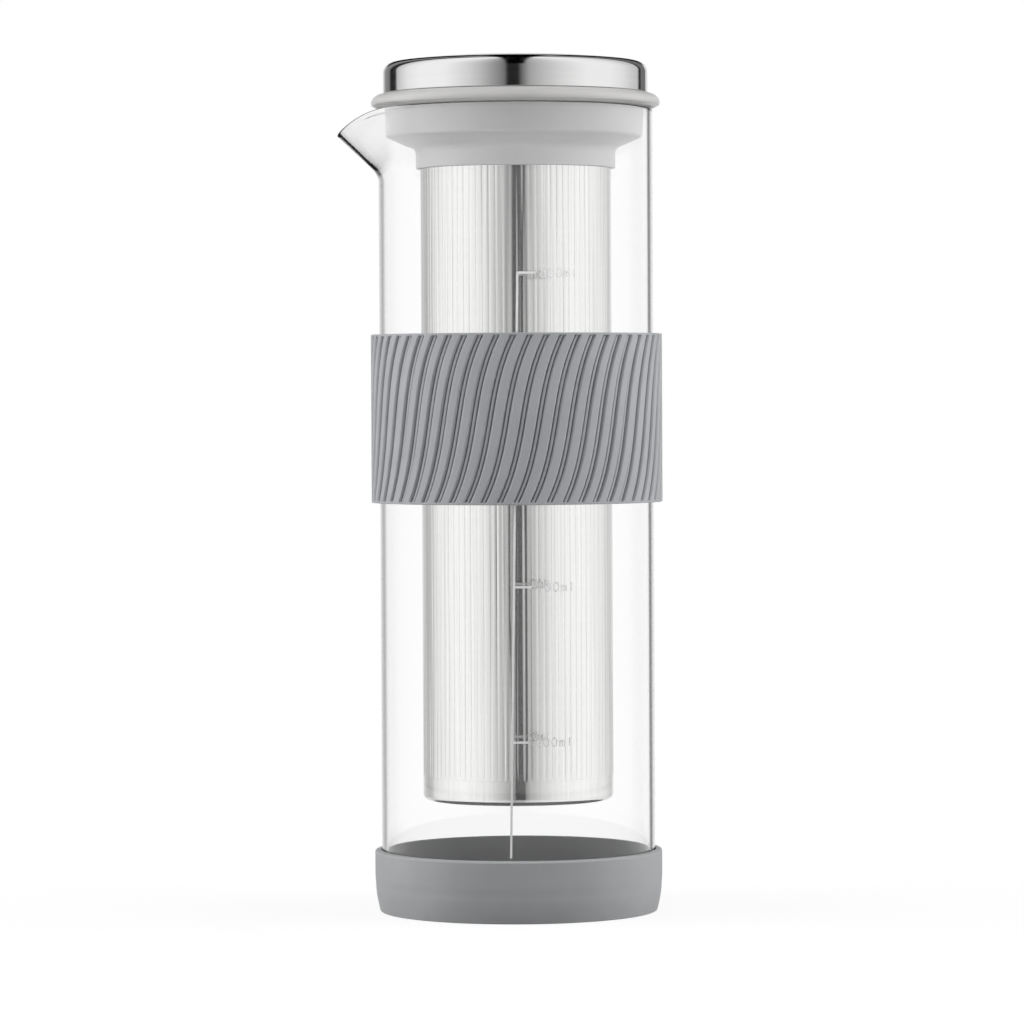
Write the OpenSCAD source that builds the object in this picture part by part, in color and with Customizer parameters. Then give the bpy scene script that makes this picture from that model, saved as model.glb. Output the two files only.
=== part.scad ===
// Cold brew coffee maker: a spouted glass carafe in a silicone boot and grip sleeve,
// a steel filter basket that hangs in its neck from a collar, and a push-on steel lid.
// Millimetres, +Z up, the spout towards -X, the origin in the middle of the resting face.

/* [Glass carafe] */
// Outer diameter of the glass body
glass_d = 79; // [74:0.5:92]
// Thickness of the glass wall
glass_wall = 1.5; // [1:0.1:2]
// Height of the glass from its foot to its rim
glass_h = 229; // [190:1:270]
// Thickness of the glass floor
glass_floor = 4.9; // [3:0.1:9]
// Outer radius of the foot's corner
foot_round = 6; // [4.5:0.5:9]
// Radius of the corner between the wall and the floor inside
floor_round = 4; // [2:0.5:8]

/* [Spout] */
// How far the lip stands out from the wall
spout_reach = 11.7; // [6:0.1:16]
// How far the lip dips below the rim
spout_drop = 7.3; // [3:0.1:10]
// Height of the stretch of wall that leans out into the spout
spout_h = 21; // [16:0.5:28]
// Share of the rim that the spout takes to each side, in degrees
spout_half_angle = 40; // [30:1:50]

/* [Base boot] */
// Height of the boot
boot_h = 18; // [12:0.5:40]
// Thickness of the boot's wall
boot_wall = 1.8; // [1.4:0.1:4]
// Thickness of the boot's floor, which the glass stands on
boot_floor = 2; // [1:0.1:5]
// Height of the part below the step, which draws in to the foot
boot_foot_h = 8.6; // [5:0.1:10]
// Depth of the step round the boot
boot_step = 0.35; // [0.1:0.05:0.6]
// How far the wall draws in from the step to the foot
boot_draw = 1.15; // [0.3:0.05:1.3]

/* [Grip sleeve] */
// Height of the sleeve
sleeve_h = 48.4; // [30:0.2:80]
// Distance from the rim of the glass down to the sleeve
sleeve_below_rim = 64.8; // [40:0.2:80]
// Thickness of the sleeve at its ribs
sleeve_wall = 2.3; // [1.8:0.1:4]
// Number of ribs round the sleeve
rib_count = 56; // [24:1:64]
// Depth of the grooves between the ribs
rib_depth = 1; // [0.4:0.1:1.4]
// Width of a groove at its mouth
groove_w = 1.7; // [1:0.1:2.2]
// Height of the plain lip at each end of the sleeve
sleeve_lip = 0.5; // [0.4:0.1:3]
// Turn of the ribs from the lower to the upper lip, in degrees
rib_turn = 18.7; // [0:0.1:30]

/* [Filter] */
// Space between the filter tube and the glass
filter_gap = 10.5; // [8:0.1:14]
// Thickness of the filter's steel
filter_wall = 0.6; // [0.4:0.1:1]
// Space between the glass floor and the filter's underside
filter_clear = 25.1; // [8:0.1:60]
// Height of the plain cup that closes the filter
cup_h = 7.1; // [5:0.1:14]
// Outer radius of the cup's lower edge
cup_round = 3; // [1.5:0.1:4]
// Depth of the spigot that joins the cup to the tube
cup_spigot = 4; // [2:0.5:8]
// Number of slots round the tube
slot_count = 44; // [24:1:60]
// Width of a slot
slot_w = 0.8; // [0.5:0.1:1.4]
// Number of tiers of slots
slot_tiers = 4; // [2:1:6]
// Height of the plain bridge between two tiers
slot_bridge = 3; // [2:0.5:8]
// Thickness of the ring round the filter's mouth
top_ring_h = 2.2; // [1.6:0.1:3]
// Width of that ring past the tube
top_ring_w = 2.8; // [2:0.1:3.4]
// Depth of the ring's sleeve inside the tube
top_ring_sleeve = 5; // [3:0.5:8]

/* [Collar] */
// Distance from the rim of the glass down to the lower edge of the neck
neck_drop = 17.2; // [14:0.1:24]
// Thickness of the neck round the filter tube
neck_wall = 1.4; // [1:0.1:2]
// Distance from the rim of the glass down to the plug's lower corner
plug_drop = 7.4; // [6:0.1:9]
// Slope of the plug's underside, in degrees
plug_slope = 23; // [10:1:30]
// Radius of the hollow between the neck and the plug
neck_fillet = 2.2; // [1:0.1:3]
// Radius of the plug's lower corner
plug_round = 1.2; // [0.6:0.1:2]
// Draft of the plug, which is this much narrower at its lower corner
plug_draft = 0.3; // [0:0.05:0.5]
// Depth of the ledge that carries the filter, below the rim of the glass
ledge_drop = 5.2; // [3:0.1:6]
// Height of the collar's mouth above the seal ring
mouth_h = 5.7; // [4:0.1:7]

/* [Seal ring] */
// Height of the seal ring
seal_h = 3.8; // [3:0.1:6]
// How far the seal ring stands out past the glass
seal_overhang = 2.3; // [1.5:0.1:4]
// Radius of the ring's lower edge; above it the ring curves in to the lid
seal_under = 1.3; // [0.8:0.1:1.8]

/* [Lid] */
// How far the lid stands in from the glass
lid_inset = 1.4; // [0:0.1:2.2]
// Height of the lid cap in its middle
lid_h = 11.1; // [10:0.1:15]
// Thickness of the lid's steel
lid_wall = 0.8; // [0.5:0.1:1.2]
// Outer radius of the lid's top edge
lid_round = 3; // [1.2:0.1:4]
// How far the middle of the lid's crown stands above its edge
lid_crown = 2.1; // [0:0.1:3]
// Thickness of the liner's disc and walls
liner_wall = 1.8; // [1.2:0.1:2]
// Depth of the liner's plug below its disc
plug_depth = 10.8; // [8.3:0.1:11.5]
// Height of the seal in the liner's groove
lid_seal_h = 2.6; // [1.6:0.1:3]
// Depth of the groove that holds the seal
lid_seal_depth = 1; // [0.6:0.1:1.2]

/* [Fits] */
// Clearance between two pieces that stay together
fit_gap = 0.2; // [0.1:0.05:0.4]
// Clearance between two pieces that part
run_gap = 0.3; // [0.2:0.05:0.5]
// Clearance between the plug and the glass
plug_gap = 0.7; // [0.5:0.1:1.5]

/* [Hidden] */
$fn = 96;
// What every cut runs past the faces that it opens
overrun = 5;
// Segments of a rounded corner, and of one on the glass
round_steps = 6;
glass_round_steps = 5;

// Glass
glass_r = glass_d / 2;
bore_r = glass_r - glass_wall;
foot_z = boot_floor + fit_gap;
rim_z = foot_z + glass_h;
floor_z = foot_z + glass_floor;

// Spout
spout_z = rim_z - spout_h;
// Sections of the glass across the spout and round the rest, and points up each section
spout_sections = 26;
wall_sections = 56;
spout_points = 8;
// Height share at which the spout's hollow start turns into its straight slope
hollow_share = 1 / 3;

// Boot and sleeve
boot_r = glass_r + fit_gap + boot_wall;
boot_lip = 0.4;
boot_draw_steps = 6;
sleeve_bore_r = glass_r + fit_gap;
sleeve_r = sleeve_bore_r + sleeve_wall;
sleeve_z1 = rim_z - sleeve_below_rim;
sleeve_z0 = sleeve_z1 - sleeve_h;
// Height over which a groove runs out at a lip
groove_run_out = 0.4;
rib_steps = 8;
// Share of the turn that is even; the rest gathers near the two lips
even_share = 0.6;
// Share of a groove's mouth that its floor takes
groove_floor_share = 0.65;
// Turn of the ribs at half the sleeve's height
rib_phase = 2.4;

// Filter
filter_r = bore_r - filter_gap;
basket_r = filter_r - filter_wall;
filter_z = floor_z + filter_clear;
ledge_z = rim_z - ledge_drop;
tube_z0 = filter_z + cup_h;
tube_z1 = ledge_z;
slot_z0 = tube_z0 + cup_spigot + slot_bridge / 2;
slot_z1 = rim_z - neck_drop - slot_bridge / 2;
tier_h = (slot_z1 - slot_z0 + slot_bridge) / slot_tiers;

// Collar and seal ring
neck_r = filter_r + fit_gap + neck_wall;
neck_z = rim_z - neck_drop;
plug_r = bore_r - plug_gap;
seal_z0 = rim_z + run_gap;
seal_z1 = seal_z0 + seal_h;
seal_r = glass_r + seal_overhang;
tube_bore_r = filter_r + fit_gap;
top_ring_r = filter_r + top_ring_w;
mouth_r = top_ring_r + run_gap;
mouth_z = seal_z1 + mouth_h;
mouth_edge = 0.5;

// Lid
lid_r = glass_r - lid_inset;
lid_z0 = seal_z1 + run_gap;
lid_z1 = lid_z0 + lid_h;
liner_r = lid_r - lid_wall - fit_gap;
upstand_r = liner_r - liner_wall - 2 * run_gap;
disc_z0 = mouth_z + run_gap;
// Centre of the rounded edge, and the slope at which the crown meets it
lid_edge_r = lid_r - lid_round;
crown_slope = atan(2 * lid_crown / lid_edge_r);
lid_edge_z = lid_z1 - lid_crown - lid_round * cos(crown_slope);
crown_steps = 4;
disc_z1 = lid_edge_z + (lid_round - lid_wall) * cos(crown_slope) - fit_gap;
skirt_z0 = lid_z0 + liner_wall / 2;
liner_plug_r = mouth_r - 2 * run_gap;
liner_plug_z0 = disc_z0 - plug_depth;
lid_seal_z0 = liner_plug_z0 + liner_wall;

// Points along an arc in the r, z plane
function arc(centre, radius, from, to, steps = round_steps) =
    [for (i = [0:steps]) let (a = from + (to - from) * i / steps)
        centre + radius * [cos(a), sin(a)]];

// Faces that skin a grid of rows of points; each row is a closed ring
function ring_faces(rows, count) =
    [for (j = [0:rows - 2], i = [0:count - 1]) let (k = (i + 1) % count)
        each [
            [j * count + i, (j + 1) * count + k, j * count + k],
            [j * count + i, (j + 1) * count + i, (j + 1) * count + k]
        ]];

module lathe(outline) {
    rotate_extrude() polygon(outline);
}

// The spout pulls the wall out by this share at an angle from its middle
function pull_share(a) = abs(a) < spout_half_angle ? pow(cos(90 * a / spout_half_angle), 2) : 0;

// Share of the pull at a share of the height, and how fast it grows there
function lean_share(t) = t < hollow_share ? 1.8 * t * t : 1.2 * (t - hollow_share / 2);
function lean_rate(t) = t < hollow_share ? 3.6 * t : 1.2;

// The glass in section at an angle: the foot, up the outer face, over the lip, down to the floor
function glass_section(a) =
    let (
        pull = pull_share(a),
        lip_r = glass_wall / 2,
        rise = rim_z - lip_r - spout_drop * pull * pull - spout_z,
        shares = [for (i = [0:spout_points]) i / spout_points],
        outer = [for (t = shares)
            [glass_r + spout_reach * pull * lean_share(t), spout_z + rise * t]],
        across = [for (t = shares)
            let (d = [spout_reach * pull * lean_rate(t), rise]) [d.y, -d.x] / norm(d)],
        tilt = atan2(across[spout_points].y, across[spout_points].x),
        lip = outer[spout_points] - lip_r * across[spout_points]
    )
    concat(
        arc([glass_r - foot_round, foot_z + foot_round], foot_round, -90, 0, glass_round_steps),
        outer,
        arc(lip, lip_r, tilt + 45, tilt + 135, 2),
        [for (i = [spout_points:-1:0]) outer[i] - glass_wall * across[i]],
        arc([bore_r - floor_round, floor_z + floor_round], floor_round, 0, -90, glass_round_steps)
    );

module carafe_glass() {
    angles = [
        for (i = [0:spout_sections]) spout_half_angle * (2 * i / spout_sections - 1),
        for (i = [1:wall_sections - 1])
            spout_half_angle + (360 - 2 * spout_half_angle) * i / wall_sections
    ];
    count = len(glass_section(0));
    columns = len(angles);
    points = [for (a = angles) each
        [for (p = glass_section(a)) [-p.x * cos(a), -p.x * sin(a), p.y]]];
    skin = [for (j = [0:columns - 1], i = [0:count - 2])
        let (here = j * count + i, next = (j + 1) % columns * count + i)
        each [[here, here + 1, next + 1], [here, next + 1, next]]];
    foot = [for (j = [0:columns - 1]) j * count];
    floor_ring = [for (j = [columns - 1:-1:0]) j * count + count - 1];
    color("lightblue", 0.4) polyhedron(points, concat(skin, [foot, floor_ring]), convexity = 6);
}

module base_boot() {
    foot_r = boot_r - boot_step;
    color("dimgray") lathe(concat(
        [[0, 0]],
        [for (i = [0:boot_draw_steps]) let (t = i / boot_draw_steps)
            [foot_r - boot_draw * pow(1 - t, 1.5), boot_foot_h * t]],
        [
            [boot_r, boot_foot_h + boot_step],
            [boot_r, boot_h - boot_lip],
            [boot_r - boot_lip, boot_h],
            [sleeve_bore_r, boot_h + boot_lip]
        ],
        arc([sleeve_bore_r - foot_round, foot_z - fit_gap + foot_round], foot_round, 0, -90),
        [[0, boot_floor]]
    ));
}

// Turn of the ribs at a share of the height
function rib_angle(t) = let (u = t - 0.5)
    rib_phase + rib_turn * (even_share * u + 4 * (1 - even_share) * u * u * u);

// The outline of the ribs, turned to an angle, with grooves of a depth
function rib_ring(turn, depth, z) =
    let (
        pitch = 360 / rib_count,
        mouth = groove_w / sleeve_r * 180 / PI,
        floor_w = mouth * groove_floor_share
    )
    [for (i = [0:rib_count - 1]) each [
        for (p = [
            [mouth / 2 - pitch, 0], [-mouth / 2, 0],
            [-floor_w / 2, depth], [floor_w / 2, depth]
        ])
        let (a = turn + i * pitch + p.x, r = sleeve_r - p.y)
        [r * cos(a), r * sin(a), z]
    ]];

module grip_sleeve() {
    lip0 = sleeve_z0 + sleeve_lip;
    lip1 = sleeve_z1 - sleeve_lip;
    span = lip1 - lip0;
    run_share = groove_run_out / span;
    shares = [0, run_share, for (i = [1:rib_steps - 1]) i / rib_steps, 1 - run_share, 1];
    rings = concat(
        [rib_ring(rib_angle(0), 0, sleeve_z0)],
        [for (t = shares)
            rib_ring(rib_angle(t), t == 0 || t == 1 ? 0 : rib_depth, lip0 + span * t)],
        [rib_ring(rib_angle(1), 0, sleeve_z1)]
    );
    count = len(rings[0]);
    rows = len(rings);
    lower_end = [for (i = [0:count - 1]) i];
    upper_end = [for (i = [count - 1:-1:0]) (rows - 1) * count + i];
    color("darkgray") difference() {
        polyhedron(
            [for (ring = rings) each ring],
            concat(ring_faces(rows, count), [lower_end, upper_end]),
            convexity = 8
        );
        translate([0, 0, sleeve_z0 - overrun]) cylinder(r = sleeve_bore_r, h = sleeve_h + 2 * overrun);
    }
}

module slots() {
    for (i = [0:slot_count - 1], j = [0:slot_tiers - 1])
        rotate([0, 0, i * 360 / slot_count])
            translate([basket_r - overrun, -slot_w / 2, slot_z0 + j * tier_h])
                cube([filter_wall + 2 * overrun, slot_w, tier_h - slot_bridge]);
}

module filter_tube() {
    color("silver") difference() {
        lathe([[basket_r, tube_z0], [filter_r, tube_z0], [filter_r, tube_z1], [basket_r, tube_z1]]);
        slots();
    }
}

module filter_bottom_cup() {
    wall_z = tube_z0 - fit_gap;
    spigot_r = basket_r - fit_gap;
    inner_r = spigot_r - filter_wall;
    color("silver") lathe(concat(
        [[0, filter_z]],
        arc([filter_r - cup_round, filter_z + cup_round], cup_round, -90, 0),
        [
            [filter_r, wall_z],
            [spigot_r, wall_z],
            [spigot_r, wall_z + cup_spigot],
            [inner_r, wall_z + cup_spigot]
        ],
        arc([inner_r - cup_round / 2, filter_z + filter_wall + cup_round / 2], cup_round / 2, 0, -90),
        [[0, filter_z + filter_wall]]
    ));
}

module filter_top_ring() {
    ring_z = ledge_z + fit_gap;
    sleeve_r1 = basket_r - fit_gap;
    edge = top_ring_h / 2;
    color("silver") lathe(concat(
        [[sleeve_r1, ledge_z - top_ring_sleeve], [sleeve_r1, ring_z]],
        arc([top_ring_r - edge, ring_z + edge], edge, -90, 90),
        arc([sleeve_r1 - filter_wall + edge, ring_z + edge], edge, 90, 180),
        [[sleeve_r1 - filter_wall, ledge_z - top_ring_sleeve]]
    ));
}

module filter_collar() {
    corner_r = plug_r - plug_draft - plug_round;
    corner_z = rim_z - plug_drop;
    corner = arc([corner_r, corner_z], plug_round, plug_slope - 90, 0);
    // The underside runs at one slope from the fillet's end to the corner's start
    fillet_turn = 90 - plug_slope;
    fillet_end_r = neck_r + neck_fillet * (1 - cos(fillet_turn));
    fillet_end_z = corner[0].y - (corner[0].x - fillet_end_r) * tan(plug_slope);
    fillet_z = fillet_end_z - neck_fillet * sin(fillet_turn);
    color("gainsboro") lathe(concat(
        [[tube_bore_r, neck_z], [neck_r, neck_z]],
        arc([neck_r + neck_fillet, fillet_z], neck_fillet, 180, 180 - fillet_turn),
        corner,
        [
            [plug_r, seal_z0 - fit_gap],
            [upstand_r, seal_z0 - fit_gap],
            [upstand_r, mouth_z - mouth_edge],
            [upstand_r - mouth_edge, mouth_z],
            [mouth_r + mouth_edge, mouth_z],
            [mouth_r, mouth_z - mouth_edge],
            [mouth_r, ledge_z],
            [tube_bore_r, ledge_z]
        ]
    ));
}

module collar_seal_ring() {
    ring_bore_r = upstand_r + fit_gap;
    nose_z = seal_z0 + seal_under;
    bulge = [for (i = [1:round_steps]) let (a = 90 * i / round_steps)
        [lid_r + (seal_r - lid_r) * cos(a), nose_z + (seal_z1 - nose_z) * sin(a)]];
    color("lightgray") lathe(concat(
        [[ring_bore_r, seal_z0]],
        arc([seal_r - seal_under, nose_z], seal_under, -90, 0),
        bulge,
        [[ring_bore_r, seal_z1]]
    ));
}

// The lid's rounded edge and crown, from the wall to the middle
function crowned(edge) =
    let (
        side = arc([lid_edge_r, lid_edge_z], edge, 0, 90 - crown_slope),
        last = side[len(side) - 1]
    )
    concat(side, [for (i = [1:crown_steps]) let (t = 1 - i / crown_steps)
        [last.x * t, last.y + lid_crown * (1 - t * t)]]);

module lid_cap() {
    inner = crowned(lid_round - lid_wall);
    color("silver") lathe(concat(
        [[lid_r - lid_wall, lid_z0], [lid_r, lid_z0]],
        crowned(lid_round),
        [for (i = [len(inner) - 1:-1:0]) inner[i]]
    ));
}

module lid_liner() {
    groove_r = liner_plug_r - lid_seal_depth;
    plug_bore_r = groove_r - liner_wall;
    edge = lid_round - lid_wall;
    color("whitesmoke") lathe(concat(
        [[0, disc_z1]],
        arc([liner_r - edge, disc_z1 - edge], edge, 90, 0),
        [
            [liner_r, skirt_z0],
            [liner_r - liner_wall, skirt_z0],
            [liner_r - liner_wall, disc_z0],
            [liner_plug_r, disc_z0],
            [liner_plug_r, lid_seal_z0 + lid_seal_h + 2 * fit_gap],
            [groove_r, lid_seal_z0 + lid_seal_h + 2 * fit_gap],
            [groove_r, lid_seal_z0],
            [liner_plug_r, lid_seal_z0],
            [liner_plug_r, liner_plug_z0],
            [plug_bore_r, liner_plug_z0],
            [plug_bore_r, disc_z0],
            [0, disc_z0]
        ]
    ));
}

module lid_seal() {
    seal_bore_r = liner_plug_r - lid_seal_depth + fit_gap;
    seal_out_r = mouth_r - run_gap;
    z = lid_seal_z0 + fit_gap;
    bead = lid_seal_h / 2;
    round = min(bead, seal_out_r - liner_plug_r);
    color("gray") lathe(concat(
        [[seal_bore_r, z]],
        arc([seal_out_r - round, z + round], round, -90, 0),
        arc([seal_out_r - round, z + lid_seal_h - round], round, 0, 90),
        [[seal_bore_r, z + lid_seal_h]]
    ));
}

carafe_glass();
base_boot();
grip_sleeve();
filter_tube();
filter_bottom_cup();
filter_top_ring();
filter_collar();
collar_seal_ring();
lid_cap();
lid_liner();
lid_seal();
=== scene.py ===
"""The looks of the cold brew coffee maker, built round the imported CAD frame.

Metres, +Z up, the spout towards -X. The camera stands on the -Y side. Sizes are written in
millimetres times MM, and places come from the boxes of the CAD nodes. Outlines and sections
are lists of points in the r, z plane.
"""

import math
import random

import bmesh
import bpy
from mathutils import Matrix, Vector


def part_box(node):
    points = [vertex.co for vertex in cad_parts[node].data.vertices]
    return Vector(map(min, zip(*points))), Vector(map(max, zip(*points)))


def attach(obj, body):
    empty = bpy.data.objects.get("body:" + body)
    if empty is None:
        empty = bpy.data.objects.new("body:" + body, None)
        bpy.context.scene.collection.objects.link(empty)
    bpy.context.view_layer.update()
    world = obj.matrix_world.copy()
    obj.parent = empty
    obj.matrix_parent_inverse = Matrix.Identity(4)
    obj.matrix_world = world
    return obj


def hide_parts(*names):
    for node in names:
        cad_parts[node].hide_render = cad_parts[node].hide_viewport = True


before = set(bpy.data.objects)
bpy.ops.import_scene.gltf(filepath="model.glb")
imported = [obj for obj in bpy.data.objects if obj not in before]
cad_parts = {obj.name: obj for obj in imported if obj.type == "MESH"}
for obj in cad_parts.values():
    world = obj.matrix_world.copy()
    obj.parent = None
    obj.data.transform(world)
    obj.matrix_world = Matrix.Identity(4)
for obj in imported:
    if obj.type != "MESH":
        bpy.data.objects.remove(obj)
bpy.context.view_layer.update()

MM = 0.001
TAU = 2 * math.pi

# Places that the CAD nodes give
GLASS_LOW, GLASS_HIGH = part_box("carafe_glass")
BOOT_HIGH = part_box("base_boot")[1]
SLEEVE_LOW, SLEEVE_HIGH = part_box("grip_sleeve")
TUBE_LOW, TUBE_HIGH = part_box("filter_tube")
CUP_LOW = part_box("filter_bottom_cup")[0]
COLLAR_LOW, COLLAR_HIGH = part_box("filter_collar")
SEAL_LOW, SEAL_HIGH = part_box("collar_seal_ring")
CAP_LOW, CAP_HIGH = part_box("lid_cap")

# Glass
GLASS_R = GLASS_HIGH.x
GLASS_WALL = 1.5 * MM
GLASS_FLOOR = 4.9 * MM
FOOT_ROUND = 6 * MM
FLOOR_ROUND = 4 * MM
SPOUT_REACH = 11.7 * MM
SPOUT_DROP = 7.3 * MM
SPOUT_H = 21 * MM
SPOUT_HALF_ANGLE = math.radians(40)
# The spout curves outwards up to this share of its height, and runs straight above it
HOLLOW_SHARE = 1 / 3
# The wall is drawn out thinner at the spout by this share
SPOUT_THINNING = 0.28
# The lip's arc stops this many degrees short of both faces of the wall
LIP_SHORT = 18

# Scale printed on the glass: places are measured round the glass and up
PRINT_THICK = 0.05 * MM
PRINT_LINE_W = 0.66 * MM
PRINT_STROKE_W = 0.38 * MM
PRINT_TOP = Vector((0.3, 183.2)) * MM
PRINT_FOOT = Vector((-2.2, 18.6)) * MM
TICK_LENGTH = 5 * MM
LEVELS = {"800ml": 183.2 * MM, "400ml": 94.9 * MM, "200ml": 51.2 * MM}
LABEL_START = 6.4 * MM
GLYPH_SIZE = Vector((1.7, 2.5)) * MM
GLYPH_PITCH = 2.35 * MM

# Boot
BOOT_WALL = 1.8 * MM
BOOT_FLOOR = 2 * MM
BOOT_RIM_DROP = 0.5 * MM
BOOT_LIP = 0.4 * MM
BOOT_LIP_ROUND = 0.5 * MM
BOOT_BORE_ROUND = 0.2 * MM
# A small smooth step out, and below it a foot that is drawn in down to a rounded heel
BOOT_STEP = 0.22 * MM
BOOT_STEP_Z = 7.1 * MM
BOOT_STEP_H = 3.6 * MM
BOOT_DRAW = 1.15 * MM
BOOT_DRAW_POWER = 1.5
BOOT_HEEL = 0.4 * MM

# Sleeve
SLEEVE_WALL = 2.3 * MM
SLEEVE_LIP = 0.5 * MM
SLEEVE_EDGE = 0.25 * MM
RIBS = 56
RIB_DEPTH = 1 * MM
RIB_EDGE = 0.48 * MM
RIB_PHASE = math.radians(2.4)
RIB_TURN = math.radians(18.7)
# Share of the ribs' turn that is even; the rest comes towards both ends
EVEN_SHARE = 0.6
GROOVE_W = 1.6 * MM
GROOVE_RUN_OUT = 0.5 * MM
# Half a groove, from its middle to its wall: a raised floor, then a narrow slot. Each point has its
# share of half the width and its share of the depth
GROOVE_FLOOR = [(0, 0.6), (0.45, 0.62), (0.54, 0.68), (0.57, 1.3), (0.78, 1.38), (0.97, 1.3), (1, 0.56)]
# The soft edge of the rib beside it, with shares of RIB_EDGE and of the depth
GROOVE_EDGE = [(0.05, 0.48), (0.82, 0.05), (1, 0.01), (1.25, 0)]

# Filter
FILTER_R = TUBE_HIGH.x
FILTER_WALL = 0.6 * MM
COLUMNS = 88
COLUMN_MOUTH = 0.38 * MM
COLUMN_DEPTH = 0.07 * MM
SLIT_W = 0.05 * MM
SLIT_PITCH = 5 * MM
SLIT_BRIDGE = 0.35 * MM
SLIT_MARGIN = 0.5 * MM
# The most that a strip between two columns leans, and how many values its lean passes through
STRIP_TILT = math.radians(4.5)
STRIP_LEANS = 4
# A strip's middle lies in from the wall's full radius by this share of what its edges do
STRIP_CROWN = 0.3
CUP_GAP = 0.02 * MM
CUP_ROUND = 1.8 * MM
CUP_SPIGOT = 4 * MM

# Collar
NECK_WALL = 1.05 * MM
NECK_FILLET = 2.2 * MM
NECK_ROUND = 0.35 * MM
NECK_BORE_ROUND = 0.3 * MM
FIT_GAP = 0.2 * MM
FINE_ROUND = 0.2 * MM
# The plug is a little narrower than the solid
PLUG_R = COLLAR_HIGH.x - 0.4 * MM
PLUG_DROP = 7.4 * MM
PLUG_SLOPE = math.radians(23)
PLUG_ROUND = 1.2 * MM
PLUG_DRAFT = 0.3 * MM
LEDGE_DROP = 5.2 * MM
MOUTH_R = 30.6 * MM
UPSTAND_R = 34.7 * MM
UPSTAND_ROUND = 0.5 * MM

# Seal ring, a little narrower and taller than the solid
SEAL_R = SEAL_HIGH.x - 0.15 * MM
SEAL_TOP = SEAL_HIGH.z + 0.2 * MM
SEAL_UNDER = 1.3 * MM
SEAL_FOOT_R = 40 * MM
SEAL_FOOT_ROUND = 0.15 * MM
SEAL_SLOPE_H = 0.75 * MM
SEAL_NOSE_IN = 0.2 * MM
SEAL_NOSE_ROUND = 0.25 * MM

# Lid
LID_R = CAP_HIGH.x
LID_WALL = 0.8 * MM
LID_ROUND = 3 * MM
LID_CROWN = 2.1 * MM
LID_HEM = 0.25 * MM


def oval(centre, across, high, start=0, end=360, steps=18):
    """Points round an oval, from one angle to another in degrees."""
    x, z = centre
    turns = [math.radians(start + (end - start) * i / steps) for i in range(steps + 1)]
    return [Vector((x + across * math.cos(a), z + high * math.sin(a))) for a in turns]


def arc(centre, radius, start, end, steps):
    """Points along a round arc, from one angle to another in degrees."""
    return oval(centre, radius, radius, start, end, steps)


def rounded(corners, steps=6):
    """A closed outline; each corner is r, z and the radius that rounds it."""
    points = []
    for i, (r, z, radius) in enumerate(corners):
        here = Vector((r, z))
        if not radius:
            points.append(here)
            continue
        back = (Vector(corners[i - 1][:2]) - here).normalized()
        ahead = (Vector(corners[(i + 1) % len(corners)][:2]) - here).normalized()
        half = back.angle(ahead) / 2
        centre = here + (back + ahead).normalized() * radius / math.sin(half)
        start = here + back * radius / math.tan(half) - centre
        end = here + ahead * radius / math.tan(half) - centre
        first = math.degrees(math.atan2(start.y, start.x))
        turn = (math.degrees(math.atan2(end.y, end.x)) - first + 180) % 360 - 180
        points += arc(centre, radius, first, first + turn, steps)
    return points


def supported(outline, sharp, step=0.08 * MM):
    """The outline with points close beside its soft corners, so that long runs stay straight."""
    least_turn = 1.5
    long_run = 6 * step
    points = []
    for i, here in enumerate(outline):
        into = here - outline[i - 1]
        away = outline[(i + 1) % len(outline)] - here
        turn = math.degrees(abs(into.angle_signed(away, 0)))
        soft = here.x > 0 and least_turn < turn < sharp
        if soft and into.length > long_run:
            points.append(here - into.normalized() * step)
        points.append(here)
        if soft and away.length > long_run:
            points.append(here + away.normalized() * step)
    return points


def mesh_object(name, verts, faces, sharp=40):
    """A mesh piece, smooth but for edges sharper than an angle in degrees."""
    mesh = bpy.data.meshes.new(name)
    mesh.from_pydata(verts, [], faces)
    work = bmesh.new()
    work.from_mesh(mesh)
    bmesh.ops.recalc_face_normals(work, faces=work.faces)
    work.to_mesh(mesh)
    work.free()
    mesh.polygons.foreach_set("use_smooth", [True] * len(mesh.polygons))
    mesh.set_sharp_from_angle(angle=math.radians(sharp))
    mesh.update()
    piece = bpy.data.objects.new(name, mesh)
    bpy.context.scene.collection.objects.link(piece)
    return piece


def turned(name, sections, angles, sharp=40):
    """A closed skin over sections, one for each angle all the way round.

    Every section has as many points as the others, and a point with r = 0 is a pole.
    """
    verts = []
    rings = []
    for k in range(len(sections[0])):
        if sections[0][k].x == 0:
            rings.append([len(verts)] * len(angles))
            verts.append((0, 0, sections[0][k].y))
            continue
        rings.append(list(range(len(verts), len(verts) + len(angles))))
        for section, a in zip(sections, angles):
            r, z = section[k]
            verts.append((r * math.cos(a), r * math.sin(a), z))
    faces = []
    for k, ring in enumerate(rings):
        after = rings[(k + 1) % len(rings)]
        for i in range(len(angles)):
            j = (i + 1) % len(angles)
            corners = list(dict.fromkeys((ring[i], ring[j], after[j], after[i])))
            if len(corners) > 2:
                faces.append(corners)
    return mesh_object(name, verts, faces, sharp)


def lathe(name, outline, segments=192, sharp=40):
    """A solid of revolution from a closed outline."""
    angles = [TAU * i / segments for i in range(segments)]
    return turned(name, [supported(outline, sharp)] * segments, angles, sharp)


def smooth(share):
    """An even step from 0 to 1."""
    share = min(max(share, 0), 1)
    return share * share * (3 - 2 * share)


# Glass carafe

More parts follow.
